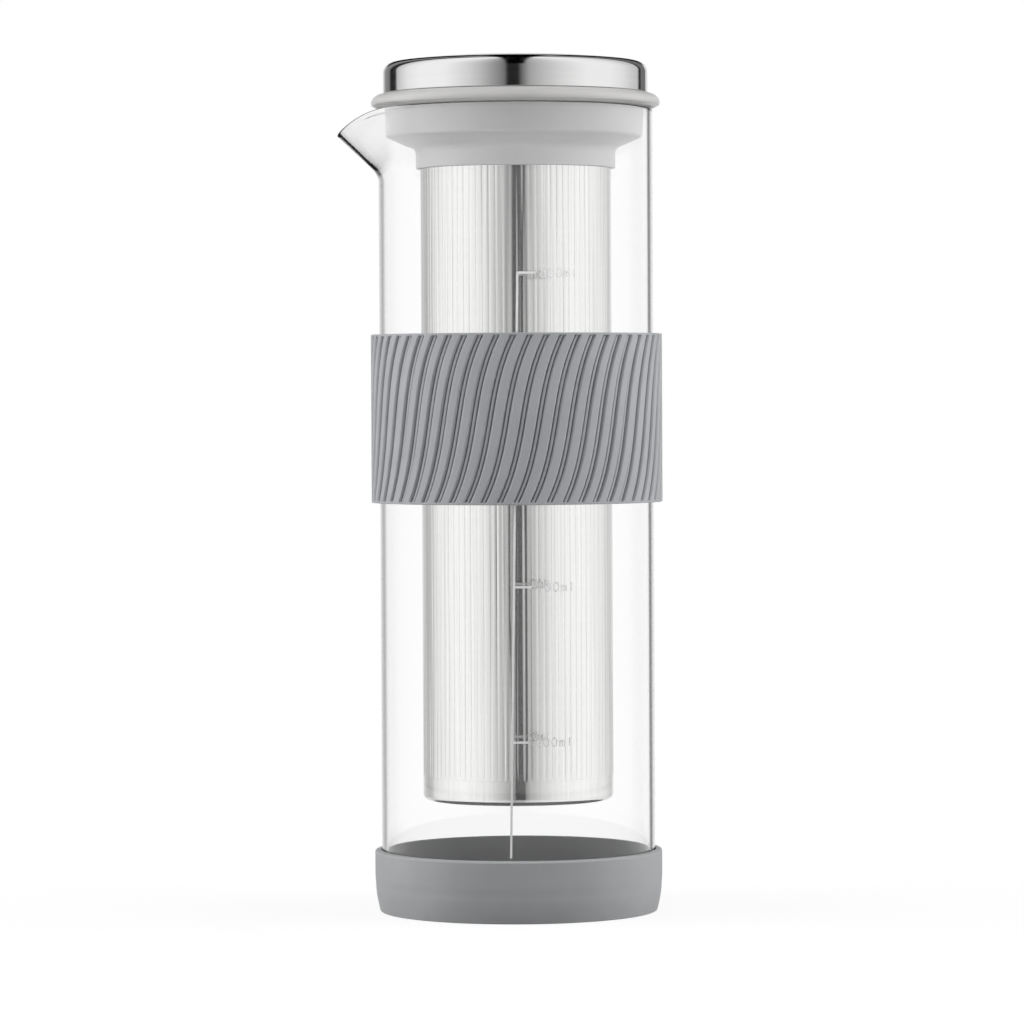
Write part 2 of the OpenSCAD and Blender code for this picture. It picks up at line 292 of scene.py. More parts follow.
def glass_section(angle):
    """The glass in section at an angle from the spout's middle, as in the CAD but finer."""
    foot_z = GLASS_LOW.z + FOOT_ROUND
    floor_z = GLASS_LOW.z + GLASS_FLOOR
    inside_z = floor_z + FLOOR_ROUND
    spout_z = GLASS_HIGH.z - SPOUT_H
    bore_r = GLASS_R - GLASS_WALL
    beside = 0.1 * MM
    pull = 0
    if abs(angle) < SPOUT_HALF_ANGLE:
        pull = math.cos(math.pi / 2 * angle / SPOUT_HALF_ANGLE) ** 2
    thin = 1 - SPOUT_THINNING * pull
    lip_r = GLASS_WALL * thin / 2
    rise = GLASS_HIGH.z - lip_r - SPOUT_DROP * pull * pull - spout_z
    slope = 1 / (1 - HOLLOW_SHARE / 2)
    bend = slope / HOLLOW_SHARE
    steps = 24
    outer = []
    inner = []
    for i in range(steps + 1):
        t = i / steps
        hollow = t < HOLLOW_SHARE
        lean = bend * t * t / 2 if hollow else slope * (t - HOLLOW_SHARE / 2)
        rate = bend * t if hollow else slope
        point = Vector((GLASS_R + SPOUT_REACH * pull * lean, spout_z + rise * t))
        across = Vector((rise, -SPOUT_REACH * pull * rate)).normalized()
        wall = GLASS_WALL * (1 + (thin - 1) * smooth(2 * t))
        outer.append(point)
        inner.append(point - wall * across)
    lip = outer[-1] - lip_r * across
    tilt = math.degrees(math.atan2(across.y, across.x))
    return (
        [Vector((0, GLASS_LOW.z))]
        + arc((GLASS_R - FOOT_ROUND, foot_z), FOOT_ROUND, -90, 0, 16)
        + [Vector((GLASS_R, foot_z + beside)), Vector((GLASS_R, spout_z - beside))]
        + outer
        + arc(lip, lip_r, tilt + LIP_SHORT, tilt + 180 - LIP_SHORT, 8)
        + inner[::-1]
        + [Vector((bore_r, spout_z - beside)), Vector((bore_r, inside_z + beside))]
        + arc((bore_r - FLOOR_ROUND, inside_z), FLOOR_ROUND, 0, -90, 14)
        + [Vector((0, floor_z))]
    )


def make_glass():
    half = SPOUT_HALF_ANGLE
    spout_steps = 80
    rest_steps = 140
    angles = [half * (2 * i / spout_steps - 1) for i in range(spout_steps)]
    angles += [half + (TAU - 2 * half) * i / rest_steps for i in range(rest_steps)]
    sections = [glass_section(a) for a in angles]
    return turned("glass_body", sections, [math.pi + a for a in angles], sharp=60)


# Scale on the glass

def on_glass(x, z, lift):
    """A point of the print: x is measured round the front of the glass."""
    turn = x / GLASS_R - math.pi / 2
    r = GLASS_R + lift
    return (r * math.cos(turn), r * math.sin(turn), z)


def ribbon(path, width, verts, faces):
    """Adds one thin closed strip along a path on the glass."""
    first = len(verts)
    for i, here in enumerate(path):
        before = path[max(i - 1, 0)]
        after = path[min(i + 1, len(path) - 1)]
        along = (after - before).normalized()
        side = Vector((-along.y, along.x)) * width / 2
        for lift in (0, PRINT_THICK):
            verts.append(on_glass(*(here + side), lift))
            verts.append(on_glass(*(here - side), lift))
    for i in range(len(path) - 1):
        a = first + 4 * i
        for j, k in ((0, 1), (1, 3), (3, 2), (2, 0)):
            faces.append((a + j, a + k, a + k + 4, a + j + 4))
    last = first + 4 * (len(path) - 1)
    faces.append((first, first + 1, first + 3, first + 2))
    faces.append((last, last + 2, last + 3, last + 1))


def glyph(letter):
    """The strokes of a plain figure in a unit box."""
    if letter == "0":
        return [oval((0.5, 0.5), 0.42, 0.5)]
    if letter == "8":
        return [oval((0.5, 0.76), 0.34, 0.24), oval((0.5, 0.26), 0.42, 0.26)]
    if letter == "4":
        return [[Vector((0.72, 0)), Vector((0.72, 1)), Vector((0.08, 0.3)), Vector((0.98, 0.3))]]
    if letter == "2":
        return [oval((0.5, 0.7), 0.4, 0.3, 165, -35, 10) + [Vector((0.1, 0)), Vector((0.95, 0))]]
    if letter == "m":
        arches = [oval((x, 0.5), 0.2, 0.18, 180, 0, 6) for x in (0.25, 0.65)]
        legs = [arch + [Vector((arch[-1].x, 0))] for arch in arches]
        return [[Vector((0.05, 0)), Vector((0.05, 0.66))]] + legs
    return [[Vector((0.4, 0)), Vector((0.4, 1))]]


def make_scale():
    """The upright line, with a tick and a label at each level."""
    verts = []
    faces = []
    steps = 24
    upright = [PRINT_FOOT.lerp(PRINT_TOP, i / steps) for i in range(steps + 1)]
    ribbon(upright, PRINT_LINE_W, verts, faces)
    for label, z in LEVELS.items():
        share = (z - PRINT_FOOT.y) / (PRINT_TOP.y - PRINT_FOOT.y)
        x = PRINT_FOOT.lerp(PRINT_TOP, share).x
        tick = [Vector((x + TICK_LENGTH * i / 4, z)) for i in range(5)]
        ribbon(tick, PRINT_LINE_W, verts, faces)
        for k, letter in enumerate(label):
            corner = Vector((x + LABEL_START + k * GLYPH_PITCH, z - GLYPH_SIZE.y / 2))
            for stroke in glyph(letter):
                path = [corner + Vector((p.x * GLYPH_SIZE.x, p.y * GLYPH_SIZE.y)) for p in stroke]
                ribbon(path, PRINT_STROKE_W, verts, faces)
    return mesh_object("glass_scale", verts, faces)


# Boot and sleeve

def make_boot():
    boot_r = BOOT_HIGH.x
    foot_r = boot_r - BOOT_STEP
    bore_r = boot_r - BOOT_WALL
    rim_z = BOOT_HIGH.z - BOOT_RIM_DROP
    inside_z = BOOT_FLOOR + FOOT_ROUND
    steps = 16
    foot = []
    for i in range(steps + 1):
        draw = BOOT_DRAW * (1 - i / steps) ** BOOT_DRAW_POWER
        foot.append(Vector((foot_r - draw, BOOT_HEEL + (BOOT_STEP_Z - BOOT_HEEL) * i / steps)))
    heel = arc((foot[0].x - BOOT_HEEL, foot[0].y), BOOT_HEEL, -90, -10, 5)
    shares = [i / 10 for i in range(1, 11)]
    step = [Vector((foot_r + BOOT_STEP * smooth(t), BOOT_STEP_Z + BOOT_STEP_H * t)) for t in shares]
    rim = rounded([
        (boot_r, BOOT_STEP_Z + BOOT_STEP_H, 0), (boot_r, rim_z - BOOT_LIP, BOOT_LIP_ROUND),
        (bore_r, rim_z, BOOT_BORE_ROUND), (bore_r, inside_z, 0)
    ])
    inside = arc((bore_r - FOOT_ROUND, inside_z), FOOT_ROUND, 0, -90, 8)
    below = [Vector((0, 0))]
    above = [Vector((0, BOOT_FLOOR))]
    return lathe("boot_shell", below + heel + foot + step + rim[1:-1] + inside[1:] + above)


def rib_angle(t):
    """Turn of the ribs at a share of the height."""
    u = t - 0.5
    return RIB_PHASE + RIB_TURN * (EVEN_SHARE * u + 4 * (1 - EVEN_SHARE) * u ** 3)


def rib_profile(pitch):
    """Places across one groove and one rib, each with its share of the groove's depth."""
    mouth = GROOVE_W / 2
    half = [(mouth * x, share) for x, share in GROOVE_FLOOR]
    half += [(mouth + RIB_EDGE * x, share) for x, share in GROOVE_EDGE]
    mirrored = [(-place, share) for place, share in half[:0:-1]]
    return mirrored + half + [(pitch / 2, 0)]


def make_sleeve():
    outer_r = SLEEVE_HIGH.x
    bore_r = outer_r - SLEEVE_WALL
    edge_r = outer_r - SLEEVE_EDGE
    low = SLEEVE_LOW.z + SLEEVE_LIP
    span = SLEEVE_HIGH.z - SLEEVE_LIP - low
    pitch = TAU * outer_r / RIBS
    profile = rib_profile(pitch)
    run_steps = 6
    steps = 48
    run_out = [GROOVE_RUN_OUT / span * i / run_steps for i in range(run_steps)]
    middle = [run_out[-1] + (1 - 2 * run_out[-1]) * i / steps for i in range(1, steps)]
    turn0 = rib_angle(0)
    turn1 = rib_angle(1)
    # Each row has its radius, height and turn, and how deep the grooves are there
    rows = [(bore_r, SLEEVE_LOW.z, turn0, 0)]
    lower_edge = arc((edge_r, SLEEVE_LOW.z + SLEEVE_EDGE), SLEEVE_EDGE, -90, 0, 4)
    rows += [(p.x, p.y, turn0, 0) for p in lower_edge]
    for t in run_out + middle + [1 - share for share in run_out[::-1]]:
        ends = smooth(min(t, 1 - t) * span / GROOVE_RUN_OUT)
        rows.append((outer_r, low + span * t, rib_angle(t), RIB_DEPTH * ends))
    upper_edge = arc((edge_r, SLEEVE_HIGH.z - SLEEVE_EDGE), SLEEVE_EDGE, 0, 90, 4)
    rows += [(p.x, p.y, turn1, 0) for p in upper_edge]
    rows.append((bore_r, SLEEVE_HIGH.z, turn1, 0))
    verts = []
    for row_r, z, turn, depth in rows:
        for i in range(RIBS):
            for place, share in profile:
                a = turn + (i * pitch + place) / outer_r
                r = row_r - depth * share
                verts.append((r * math.cos(a), r * math.sin(a), z))
    count = RIBS * len(profile)
    faces = []
    for j in range(len(rows)):
        k = (j + 1) % len(rows)
        for i in range(count):
            n = (i + 1) % count
            faces.append((j * count + i, j * count + n, k * count + n, k * count + i))
    return mesh_object("sleeve_ribbed", verts, faces, sharp=50)


# Filter

def slit_levels(height):
    """Heights in the basket wall, from its foot: the ends of the slits, and those of the wall."""
    count = int((height - 2 * SLIT_MARGIN) / SLIT_PITCH)
    step = (height - 2 * SLIT_MARGIN) / count
    levels = [0]
    for i in range(count):
        levels.append(SLIT_MARGIN + i * step + SLIT_BRIDGE / 2)
        levels.append(SLIT_MARGIN + (i + 1) * step - SLIT_BRIDGE / 2)
    return levels + [height]


def strip_lean(row, share):
    """How a strip leans at a share of its height, between the values drawn for it."""
    at = share * (len(row) - 1)
    k = min(int(at), len(row) - 2)
    return row[k] + (row[k + 1] - row[k]) * smooth(at - k)


def make_tube():
    """The basket wall: upright strips between fine grooves, with slits through the grooves."""
    draw = random.Random(7)
    low = TUBE_LOW.z
    height = TUBE_HIGH.z - low
    inner_r = FILTER_R - FILTER_WALL
    levels = slit_levels(height)
    pitch = TAU / COLUMNS
    mouth = COLUMN_MOUTH / 2 / FILTER_R
    slit = SLIT_W / 2 / FILTER_R
    half_strip = (pitch / 2 - mouth) * FILTER_R
    leans = [[draw.uniform(-1, 1) * STRIP_TILT for _ in range(STRIP_LEANS)] for _ in range(COLUMNS)]
    # Round one column: the slit's edges, the groove's edge, and the strip's middle and far edge
    outer_places = [-slit, slit, mouth, pitch / 2, pitch - mouth]
    inner_places = [-slit, slit]
    verts = []
    for z in levels:
        fade = smooth(min(z, height - z) / SLIT_MARGIN)
        groove_r = FILTER_R - COLUMN_DEPTH * fade
        edge_r = FILTER_R - STRIP_TILT * half_strip * fade
        middle_r = FILTER_R - STRIP_CROWN * STRIP_TILT * half_strip * fade
        for i, row in enumerate(leans):
            tilt = strip_lean(row, z / height) * half_strip * fade
            radii = [groove_r, groove_r, edge_r - tilt, middle_r, edge_r + tilt, inner_r, inner_r]
            for place, radius in zip(outer_places + inner_places, radii):
                a = i * pitch + place
                verts.append((radius * math.cos(a), radius * math.sin(a), low + z))
    return mesh_object("basket_wall", verts, tube_faces(len(levels), len(outer_places)), sharp=30)


def tube_faces(level_count, across):
    """Faces of the basket wall. Each column has some points across its outside and two inside.

    Every second row has the slits, between the first two points outside and the two inside.
    """
    points = across + 2
    per_level = COLUMNS * points
    outer = [i * points + k for i in range(COLUMNS) for k in range(across)]
    inner = [i * points + k for i in range(COLUMNS) for k in range(across, points)]
    faces = []
    for j in range(level_count - 1):
        a = j * per_level
        b = a + per_level
        cut = j % 2 == 1
        for ring in (outer, inner):
            per_column = len(ring) // COLUMNS
            for i, p in enumerate(ring):
                if cut and i % per_column == 0:
                    continue
                q = ring[(i + 1) % len(ring)]
                faces.append((a + p, a + q, b + q, b + p))
        if cut:
            for i in range(COLUMNS):
                near = i * points
                far = near + 1
                near_in = near + across
                far_in = near_in + 1
                faces.append((a + near, b + near, b + near_in, a + near_in))
                faces.append((a + far, a + far_in, b + far_in, b + far))
                faces.append((a + near, a + near_in, a + far_in, a + far))
                faces.append((b + near, b + far, b + far_in, b + near_in))
    for base in (0, (level_count - 1) * per_level):
        for i in range(COLUMNS):
            here = base + i * points
            after = base + (i + 1) % COLUMNS * points
            inside = here + across
            strip = [here + k for k in range(1, across)]
            faces.append((here, here + 1, inside + 1, inside))
            faces.append((*strip, after, after + across, inside + 1))
    return faces


def make_cup():
    """The plain cup that closes the basket."""
    wall_top = TUBE_LOW.z - CUP_GAP
    spigot_top = wall_top + CUP_SPIGOT
    spigot_r = FILTER_R - FILTER_WALL - FIT_GAP
    inner_r = spigot_r - FILTER_WALL
    low = CUP_LOW.z
    floor_z = low + FILTER_WALL
    outline = rounded([
        (0, low, 0), (FILTER_R, low, CUP_ROUND), (FILTER_R, wall_top, 0), (spigot_r, wall_top, 0),
        (spigot_r, spigot_top, 0), (inner_r, spigot_top, 0), (inner_r, floor_z, CUP_ROUND / 2),
        (0, floor_z, 0)
    ], 8)
    return lathe("basket_cup", outline)


# Collar and seal ring

def make_collar():
    """The collar in section: a neck, a fillet, a cone out to the plug, and an upstand in the lid."""
    bore_r = FILTER_R + FIT_GAP
    neck_r = bore_r + NECK_WALL
    neck_z = COLLAR_LOW.z
    rim_z = GLASS_HIGH.z
    shoulder_z = SEAL_LOW.z - FIT_GAP
    ledge_z = rim_z - LEDGE_DROP
    top_z = COLLAR_HIGH.z
    slope = math.degrees(PLUG_SLOPE)
    plug = arc((PLUG_R - PLUG_DRAFT - PLUG_ROUND, rim_z - PLUG_DROP), PLUG_ROUND, slope - 90, 0, 8)
    fillet_turn = math.pi / 2 - PLUG_SLOPE
    fillet_end_r = neck_r + NECK_FILLET * (1 - math.cos(fillet_turn))
    fillet_end_z = plug[0].y - (plug[0].x - fillet_end_r) * math.tan(PLUG_SLOPE)
    fillet_z = fillet_end_z - NECK_FILLET * math.sin(fillet_turn)
    fillet = arc((neck_r + NECK_FILLET, fillet_z), NECK_FILLET, 180, 180 - math.degrees(fillet_turn), 8)
    lower = rounded([
        (MOUTH_R, ledge_z, 0), (bore_r, ledge_z, FINE_ROUND), (bore_r, neck_z, NECK_BORE_ROUND),
        (neck_r, neck_z, NECK_ROUND), (neck_r, fillet[0].y, 0)
    ], 4)
    upper = rounded([
        (plug[-1].x, plug[-1].y, 0), (PLUG_R, shoulder_z, FINE_ROUND), (UPSTAND_R, shoulder_z, 0),
        (UPSTAND_R, top_z, UPSTAND_ROUND), (MOUTH_R, top_z, UPSTAND_ROUND), (MOUTH_R, ledge_z, 0)
    ], 4)
    return lathe("collar_body", lower + fillet + plug + upper[1:-1])


def make_seal_ring():
    """The ring in section: a foot, a slope out to the nose, and a bulge in to the lid."""
    bore_r = UPSTAND_R + FIT_GAP
    low = SEAL_LOW.z
    nose_z = low + SEAL_UNDER
    foot = rounded([
        (bore_r, SEAL_TOP, 0), (bore_r, low, FINE_ROUND), (SEAL_FOOT_R, low, SEAL_FOOT_ROUND),
        (SEAL_R - SEAL_NOSE_IN, low + SEAL_SLOPE_H, SEAL_NOSE_ROUND), (SEAL_R, nose_z, 0)
    ], 4)
    bulge = oval((LID_R, nose_z), SEAL_R - LID_R, SEAL_TOP - nose_z, 0, 90, 20)
    return lathe("seal_ring_body", foot[:-1] + bulge)


# Lid

def crowned(radius):
    """One face of the lid in section, from the wall round the edge's radius and over the crown."""
    edge_r = LID_R - LID_ROUND
    slope = math.atan(2 * LID_CROWN / edge_r)
    edge_z = CAP_HIGH.z - LID_CROWN - LID_ROUND * math.cos(slope)
    side = arc((edge_r, edge_z), radius, 0, 90 - math.degrees(slope), 18)
    last = side[-1]
    shares = [1 - i / 12 for i in range(1, 13)]
    return side + [Vector((last.x * t, last.y + LID_CROWN * (1 - t * t))) for t in shares]


def make_cap():
    """The polished cap, with a rounded hem."""
    inner_r = LID_R - LID_WALL
    wall_top = CAP_HIGH.z - LID_CROWN - LID_ROUND
    hem = rounded([
        (inner_r, wall_top, 0), (inner_r, CAP_LOW.z, LID_HEM), (LID_R, CAP_LOW.z, LID_HEM),
        (LID_R, wall_top, 0)
    ], 5)
    outline = hem[1:-1] + crowned(LID_ROUND) + crowned(LID_ROUND - LID_WALL)[::-1]
    return lathe("cap_shell", outline, segments=240)


# Materials

# Nearly all of a noise lies between these two
NOISE_LOW = 0.3
NOISE_HIGH = 0.7


class Shader:
    """A material with one Principled BSDF, and short ways to add the nodes that drive it."""

    def __init__(self, name, **values):
        self.material = bpy.data.materials.new(name)
        self.material.use_nodes = True
        self.tree = self.material.node_tree
        self.surface = self.tree.nodes["Principled BSDF"]
        self.output = self.tree.nodes["Material Output"]
        for socket, value in values.items():
            self.surface.inputs[socket.replace("_", " ")].default_value = value

    def node(self, kind, **values):
        """A new node, with its properties or inputs set by name."""
        made = self.tree.nodes.new("ShaderNode" + kind)
        for name, value in values.items():
            if hasattr(made, name):
                setattr(made, name, value)
            else:
                made.inputs[name.replace("_", " ")].default_value = value
        return made

    def link(self, start, end):
        self.tree.links.new(start, end)

    def noise(self, scale, detail=2, stretch=(1, 1, 1)):
        """A noise over the object's own coordinates, stretched along the axes."""
        place = self.node("TexCoord")
        size = self.node("Mapping")
        size.inputs["Scale"].default_value = stretch
        grain = self.node("TexNoise", Scale=scale, Detail=detail)
        self.link(place.outputs["Object"], size.inputs["Vector"])
        self.link(size.outputs["Vector"], grain.inputs["Vector"])
        return grain.outputs["Fac"]

    def tint(self, noise, dark, light):
        """Mixes two colours by a noise into the base colour."""
        ramp = self.node("ValToRGB")
        ramp.color_ramp.elements[0].position = NOISE_LOW
        ramp.color_ramp.elements[0].color = (*dark, 1)
        ramp.color_ramp.elements[1].position = NOISE_HIGH
        ramp.color_ramp.elements[1].color = (*light, 1)
        self.link(noise, ramp.inputs["Fac"])
        self.link(ramp.outputs["Color"], self.surface.inputs["Base Color"])

    def polish(self, noise, low, high):
        """Maps a noise between two numbers into the roughness."""
        span = self.node("MapRange", From_Min=NOISE_LOW, From_Max=NOISE_HIGH, To_Min=low, To_Max=high)
        self.link(noise, span.inputs["Value"])
        self.link(span.outputs["Result"], self.surface.inputs["Roughness"])

    def bump(self, noise, height, strength):
        """Lets a noise tilt the surface a little."""
        made = self.node("Bump", Strength=strength, Distance=height)
        self.link(noise, made.inputs["Height"])
        self.link(made.outputs["Normal"], self.surface.inputs["Normal"])


def glass_material():
    made = Shader("clear_glass", Base_Color=(1, 1, 1, 1), Roughness=0, IOR=1.47, Transmission_Weight=1)
    made.bump(made.noise(14, 1, (1, 1, 0.3)), 0.04 * MM, 0.2)
    soak = made.node("VolumeAbsorption", Color=(0.74, 0.75, 0.75, 1), Density=15)
    made.link(soak.outputs["Volume"], made.output.inputs["Volume"])
    return made.material


def silicone_material(name, dark, light, roughness=0.62, shine=0.35):
    made = Shader(name, Sheen_Weight=0.08, Sheen_Roughness=0.5, Specular_IOR_Level=shine)
    made.tint(made.noise(90, 3), dark, light)
    made.polish(made.noise(260, 2), roughness - 0.05, roughness + 0.06)
    made.bump(made.noise(5200, 3), 0.03 * MM, 0.35)
    return made.material


def plastic_material(name, dark, light, roughness=0.38, shine=0.45):
    made = Shader(name, Specular_IOR_Level=shine)
    made.tint(made.noise(60, 2), dark, light)
    made.polish(made.noise(1500, 2), roughness - 0.01, roughness + 0.015)
    made.bump(made.noise(2600, 2), 0.003 * MM, 0.2)
    return made.material


def steel_material(name, dark, light, roughness, stretch):
    """Steel with a grain that is long where the stretch is small."""
    made = Shader(name, Metallic=1)
    grain = made.noise(1400, 2, stretch)
    made.tint(grain, dark, light)
    made.polish(grain, roughness * 0.8, roughness * 1.3)
    made.bump(grain, 0.002 * MM, 0.3)
    return made.material


def ink_material():
    made = Shader("scale_ink", Specular_IOR_Level=0.4)
    made.tint(made.noise(900, 2), (0.86, 0.86, 0.86), (0.95, 0.95, 0.95))
    made.polish(made.noise(1500, 2), 0.4, 0.55)
    made.bump(made.noise(3000, 2), 0.01 * MM, 0.2)
    return made.material


GLASS = glass_material()
BOOT = silicone_material("boot_grey", (0.4, 0.408, 0.42), (0.43, 0.438, 0.45))
SLEEVE = silicone_material("sleeve_grey", (0.375, 0.385, 0.402), (0.405, 0.415, 0.432), 0.42)
SEAL = silicone_material("seal_warm_grey", (0.53, 0.525, 0.517), (0.56, 0.555, 0.547), 0.34, 0.8)
COLLAR = plastic_material("collar_light_grey", (0.755, 0.755, 0.757), (0.785, 0.785, 0.787), 0.3, 0.8)
LINER = plastic_material("liner_white", (0.75, 0.75, 0.742), (0.79, 0.79, 0.782))
POLISHED = steel_material(
    "polished_steel", (0.78, 0.78, 0.78), (0.8, 0.8, 0.795), roughness=0.08, stretch=(0.02, 0.02, 1)
)
SATIN = steel_material(
    "basket_steel", (0.89, 0.89, 0.88), (0.95, 0.95, 0.94), roughness=0.06, stretch=(1, 1, 0.02)
)
INK = ink_material()


def dress(piece, material, body, slot, *nodes):
    """Gives a piece its material and its body, and hides the nodes that it replaces. The slot is not
    used.
    """
    piece.data.materials.clear()
    piece.data.materials.append(material)
    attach(piece, body)
    if nodes:
        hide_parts(*nodes)


dress(make_glass(), GLASS, "carafe", "carafe_glass", "carafe_glass")
dress(make_scale(), INK, "carafe", "carafe_glass")
dress(make_boot(), BOOT, "carafe", "boot_silicone", "base_boot")
dress(make_sleeve(), SLEEVE, "carafe", "sleeve_silicone", "grip_sleeve")
dress(make_tube(), SATIN, "filter", "filter_steel", "filter_tube")
dress(make_cup(), SATIN, "filter", "filter_steel", "filter_bottom_cup")
dress(make_collar(), COLLAR, "filter", "collar_plastic", "filter_collar")
dress(make_seal_ring(), SEAL, "filter", "seal_silicone", "collar_seal_ring")
dress(make_cap(), POLISHED, "lid", "lid_steel", "lid_cap")

# The pieces inside the collar and the lid keep the shapes of their CAD nodes
for name, material in (("filter_top_ring", SATIN), ("lid_liner", LINER), ("lid_seal", SEAL)):
    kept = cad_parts[name]
    for slot in kept.material_slots:
        slot.material = material


# Stage

# Brightness round the horizon, by degrees from the camera's side.
# The polished lid mirrors a dark slot round the camera, soft boxes, and a black flag behind each
LID_LEFT = {
    0: 0.02, 6.6: 0.02, 9: 0.2, 12.5: 0.27, 20: 0.4, 30: 0.6, 41: 0.78, 53: 0.93, 65: 1.05,
    91: 1.07, 108: 0.95, 120: 0.72, 125: 0.62, 128: 0.03, 139: 0.02, 143: 0.22, 156: 0.3, 168: 0.8
}
LID_RIGHT = {
    0: 0.02, 2.5: 0.02, 6: 0.18, 12.5: 0.44, 20: 0.55, 30: 0.68, 41: 0.82, 53: 0.93, 65: 1.03,
    91: 1.02, 108: 0.9, 120: 0.74, 134: 0.62, 137: 0.03, 141: 0.03, 143: 0.2, 156: 0.15, 160: 0.8
}
# What comes back from the basket, through the glass
BASKET_LEFT = {
    0: 0, 2.6: 0, 6: 0.24, 14: 0.42, 24: 0.6, 34: 0.79, 46: 0.9, 58: 0.97, 70: 1.03,
    80: 1.0, 93: 0.96, 107: 0.9, 120: 0.76, 128: 0.5, 138: 0.42, 148: 0.5, 160: 0.7, 175: 0.9
}
BASKET_RIGHT = {
    0: 0, 7.5: 0, 9.5: 0.24, 14: 0.4, 24: 0.58, 34: 0.72, 44: 0.84, 54: 0.93, 66: 0.97,
    78: 1.0, 91: 1.0, 105: 0.94, 123: 0.86, 138: 0.7, 150: 0.55, 160: 0.75, 175: 0.95
}
# The glass mirrors little but the backdrop and, far round, the edge of a flag
GLASS_LEFT = {
    0: 0.95, 120: 0.95, 140: 0.85, 149: 0.85, 153: 0.45, 157: 0.45, 162: 0.65, 170: 0.85, 178: 0.98
}
GLASS_RIGHT = {
    0: 1, 120: 1, 140: 0.98, 148: 0.98, 151: 0.15, 155: 0.15, 159: 0.6, 165: 0.95, 178: 1
}
# Matt pieces are lit most from the sides
SOFT = {0: 0, 35: 0.05, 55: 2.6, 105: 3, 130: 1, 150: 0.5, 180: 0.4}
SOFT_OVERHEAD = 0.7
SOFT_BELOW = 1

# Elevations in degrees between which the surroundings change
LID_BAND_FOOT = (9, 16)
LID_BAND_TOP = (50, 62)
BASKET_PALE_BELOW = (-16, -9)
BASKET_DARK_BELOW = (-62, -48)
GLASS_DIM_ABOVE = (22, 40)
GLASS_DARK_BELOW = (-10.5, -6.3)
SOFT_OVERHEAD_FROM = (35, 60)
SOFT_BELOW_FROM = (-9, -3)
# The lid's dark band starts between these degrees from the camera's side, and its dark strip ends
# between these sideways parts of a direction
LID_BAND_BEHIND = (152, 162)
LID_STRIP = (0.1, 0.17)
# Share of white in the basket's surroundings below, and what is left of the glass's above and below
BASKET_PALE = 0.4
GLASS_DIM = 0.75
GLASS_DARK = 0.02

# Floor
STAGE_R = 0.3
STAGE_THICK = 2 * MM
STAGE_TONE = 0.2
STAGE_GLOW = 0.8

# Camera: the lens and the sensor are in millimetres, the angles in degrees
LENS = 170.42
SENSOR_W = 36
CAMERA_PLACE = (-1.5 * MM, -1400 * MM, 150.35 * MM)
CAMERA_DIP = 1.444
CAMERA_ROLL = -0.27


def maths(tree, operation, *values):
    """A Math node's output, from numbers or other outputs."""
    made = tree.nodes.new("ShaderNodeMath")
    made.operation = operation
    for socket, value in zip(made.inputs, values):
        if isinstance(value, (int, float)):
            socket.default_value = value
        else:
            tree.links.new(value, socket)
    return made.outputs[0]


def product(tree, *values):
    """All of the values multiplied."""
    result = values[0]
    for value in values[1:]:
        result = maths(tree, "MULTIPLY", result, value)
    return result


def within_one(tree, value):
    """The value held between -1 and 1."""
    return maths(tree, "MINIMUM", maths(tree, "MAXIMUM", value, -1), 1)


def ramped(tree, value, start, end, low=0, high=1):
    """Maps a value between two limits onto two others, held at both ends, with soft turns."""
    made = tree.nodes.new("ShaderNodeMapRange")
    made.interpolation_type = "SMOOTHSTEP"
    for name, number in (("From Min", start), ("From Max", end), ("To Min", low), ("To Max", high)):
        made.inputs[name].default_value = number
    tree.links.new(value, made.inputs["Value"])
    return made.outputs["Result"]


def blend(tree, factor, low, high):
    """One value where the factor is 0, and another where it is 1."""
    rest = maths(tree, "SUBTRACT", 1, factor)
    return maths(tree, "ADD", product(tree, rest, low), product(tree, factor, high))


class Sky:
    """The direction that a ray leaves in, and brightness by that direction."""

    def __init__(self, tree):
        self.tree = tree
        place = tree.nodes.new("ShaderNodeTexCoord")
        parts = tree.nodes.new("ShaderNodeSeparateXYZ")
        tree.links.new(place.outputs["Generated"], parts.inputs[0])
        x, y, z = parts.outputs
        squares = maths(tree, "ADD", product(tree, x, x), product(tree, y, y))
        least = 0.0001
        flat = maths(tree, "MAXIMUM", maths(tree, "SQRT", squares), least)
        cosine = within_one(tree, maths(tree, "DIVIDE", y, flat))
        turn = maths(tree, "ARCCOSINE", product(tree, cosine, -1))
        # Share of a half turn from the camera's side, elevation in radians, and which side
        self.turn = maths(tree, "DIVIDE", turn, math.pi)
        self.up = maths(tree, "ARCSINE", within_one(tree, z))
        self.aside = maths(tree, "ABSOLUTE", x)
        self.right = maths(tree, "GREATER_THAN", x, 0)

    def by_height(self, limits, low=0, high=1):
        """Goes from one level to the other between two elevations in degrees."""
        start, end = (math.radians(degrees) for degrees in limits)
        return ramped(self.tree, self.up, start, end, low, high)

    def by_turn(self, limits):
        """Goes from 0 to 1 between two angles in degrees from the camera's side."""
        start, end = (degrees / 180 for degrees in limits)
        return ramped(self.tree, self.turn, start, end)

    def horizon(self, levels):
        """Brightness round the horizon, from one table for both sides."""
        ramp = self.tree.nodes.new("ShaderNodeValToRGB")
        stops = ramp.color_ramp.elements
        stops.remove(stops[1])
        for i, (degrees, level) in enumerate(levels.items()):
            stop = stops[0] if i == 0 else stops.new(degrees / 180)
            stop.position = degrees / 180
            stop.color = (level, level, level, 1)
        self.tree.links.new(self.turn, ramp.inputs["Fac"])
        return ramp.outputs["Color"]

    def sides(self, left, right):
        """Brightness round the horizon, from a table for each side."""
        return blend(self.tree, self.right, self.horizon(left), self.horizon(right))


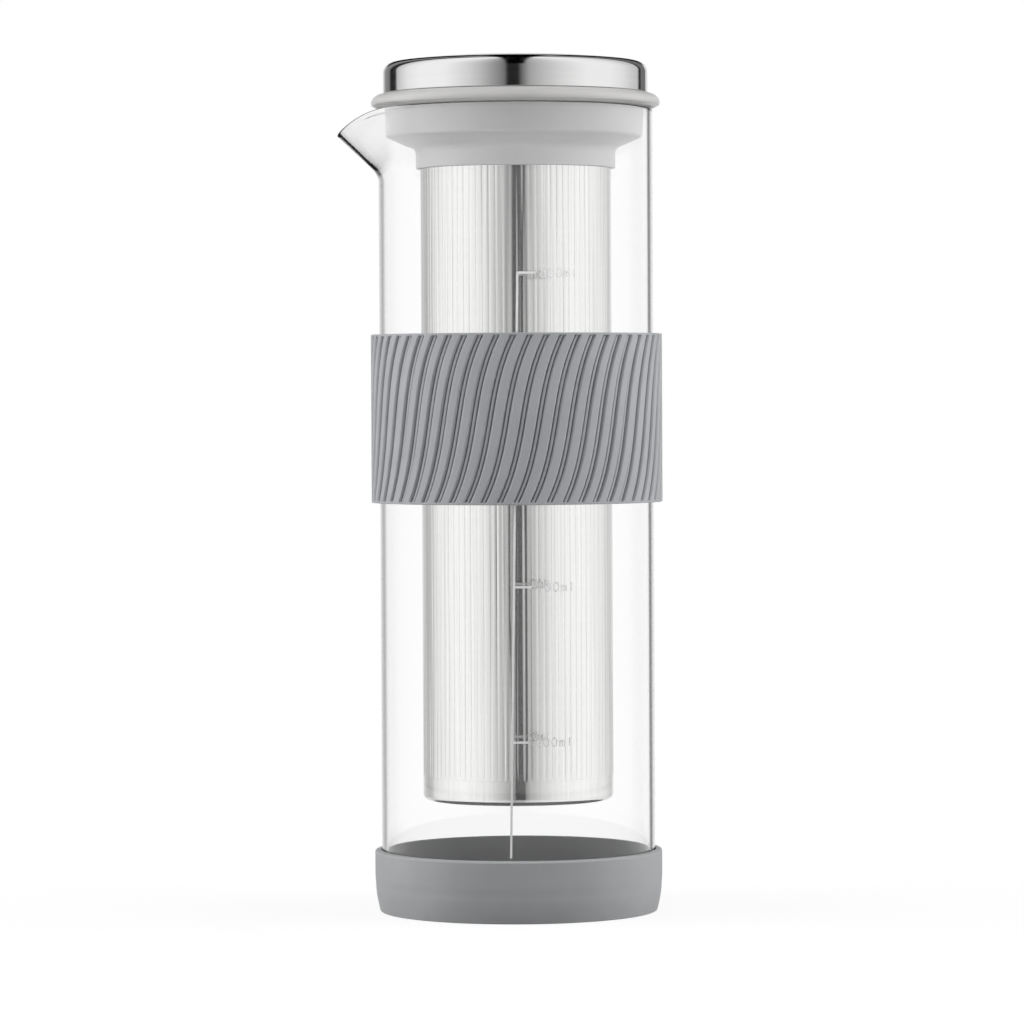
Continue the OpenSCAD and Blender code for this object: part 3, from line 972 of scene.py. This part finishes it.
def lid_light(sky):
    """What the polished lid mirrors, with a dark band high up behind and a dark strip overhead."""
    foot = sky.by_height(LID_BAND_FOOT)
    top = sky.by_height(LID_BAND_TOP, 1, 0)
    band = product(sky.tree, sky.by_turn(LID_BAND_BEHIND), foot, top)
    strip = product(sky.tree, foot, ramped(sky.tree, sky.aside, *LID_STRIP, 1, 0))
    lit = maths(sky.tree, "SUBTRACT", 1, maths(sky.tree, "MAXIMUM", band, strip))
    return product(sky.tree, sky.sides(LID_LEFT, LID_RIGHT), lit)


def basket_light(sky):
    """What the basket mirrors through the glass, paler below and dark straight down."""
    pale = product(sky.tree, sky.by_height(BASKET_PALE_BELOW, 1, 0), BASKET_PALE)
    level = blend(sky.tree, pale, sky.sides(BASKET_LEFT, BASKET_RIGHT), 1)
    return product(sky.tree, level, sky.by_height(BASKET_DARK_BELOW))


def glass_light(sky):
    """What the glass itself mirrors, a little less from above and next to nothing from below."""
    above = sky.by_height(GLASS_DIM_ABOVE, 1, GLASS_DIM)
    below = sky.by_height(GLASS_DARK_BELOW, GLASS_DARK, 1)
    return product(sky.tree, sky.sides(GLASS_LEFT, GLASS_RIGHT), above, below)


def soft_light(sky):
    """What lights the matt pieces: the sides, a soft top and the pale ground."""
    overhead = sky.by_height(SOFT_OVERHEAD_FROM)
    level = blend(sky.tree, overhead, sky.horizon(SOFT), SOFT_OVERHEAD)
    return blend(sky.tree, sky.by_height(SOFT_BELOW_FROM, 1, 0), level, SOFT_BELOW)


def kinds_of_ray(tree):
    """Which rays meet the surroundings, each as a 0 or a 1.

    Seen straight from the camera or through glass only, on to a matt surface, mirrored by the
    glass itself, and back from the basket through the glass. Depths are whole numbers, so each
    is compared with the middle between two of them.
    """
    path = tree.nodes.new("ShaderNodeLightPath").outputs
    mirrored = maths(tree, "GREATER_THAN", path["Glossy Depth"], 0.5)
    often = maths(tree, "GREATER_THAN", path["Glossy Depth"], 1.5)
    scattered = maths(tree, "GREATER_THAN", path["Diffuse Depth"], 0.5)
    untouched = maths(tree, "SUBTRACT", 1, maths(tree, "MAXIMUM", mirrored, scattered))
    through = product(tree, path["Is Transmission Ray"], untouched)
    seen = maths(tree, "MAXIMUM", path["Is Camera Ray"], through)
    traced = maths(tree, "ADD", path["Is Reflection Ray"], path["Is Transmission Ray"])
    sampled = maths(tree, "LESS_THAN", maths(tree, "ADD", traced, path["Is Camera Ray"]), 0.5)
    matt = maths(tree, "MAXIMUM", scattered, sampled)
    inside = maths(tree, "GREATER_THAN", path["Transmission Depth"], 2.5)
    outside = maths(tree, "SUBTRACT", 1, inside)
    sharp = product(tree, path["Is Singular Ray"], mirrored)
    own = product(tree, sharp, maths(tree, "MAXIMUM", outside, often))
    return seen, matt, own, inside


def make_world():
    """White for what the camera sees straight and through the glass, and the studio for the rest."""
    world = bpy.data.worlds.new("studio")
    world.use_nodes = True
    bpy.context.scene.world = world
    tree = world.node_tree
    tree.nodes.clear()
    sky = Sky(tree)
    seen, matt, own, inside = kinds_of_ray(tree)
    level = blend(tree, inside, lid_light(sky), basket_light(sky))
    level = blend(tree, own, level, glass_light(sky))
    level = blend(tree, matt, level, soft_light(sky))
    level = blend(tree, seen, level, 1)
    light = tree.nodes.new("ShaderNodeBackground")
    tree.links.new(level, light.inputs["Color"])
    out = tree.nodes.new("ShaderNodeOutputWorld")
    tree.links.new(light.outputs["Background"], out.inputs["Surface"])


def make_floor():
    """A round pale floor, white to the camera but for the object's shadow.

    Mirrors and glass look past it.
    """
    outline = [
        Vector((0, 0)), Vector((STAGE_R, 0)), Vector((STAGE_R, -STAGE_THICK)), Vector((0, -STAGE_THICK))
    ]
    floor = lathe("floor", outline, segments=128)
    tone = (STAGE_TONE, STAGE_TONE, STAGE_TONE, 1)
    made = Shader("pale_floor", Base_Color=tone, Roughness=0.7, Specular_IOR_Level=0.2)
    glow = made.node("Emission", Color=(1, 1, 1, 1))
    camera = made.node("LightPath").outputs["Is Camera Ray"]
    made.link(product(made.tree, camera, STAGE_GLOW), glow.inputs["Strength"])
    both = made.node("AddShader")
    made.link(made.surface.outputs[0], both.inputs[0])
    made.link(glow.outputs[0], both.inputs[1])
    made.link(both.outputs[0], made.output.inputs["Surface"])
    floor.data.materials.append(made.material)
    floor.visible_glossy = False
    floor.visible_transmission = False


def make_camera():
    """The photograph's camera: a long lens that looks a little down at the object."""
    camera = bpy.data.cameras.new("camera")
    camera.lens = LENS
    camera.sensor_width = SENSOR_W
    eye = bpy.data.objects.new("camera", camera)
    tilt = Matrix.Rotation(math.radians(90 - CAMERA_DIP), 4, "X")
    roll = Matrix.Rotation(math.radians(CAMERA_ROLL), 4, "Z")
    eye.matrix_world = Matrix.Translation(CAMERA_PLACE) @ tilt @ roll
    bpy.context.scene.collection.objects.link(eye)
    bpy.context.scene.camera = eye


make_world()
make_floor()
make_camera()
bpy.context.scene.view_settings.view_transform = "Standard"
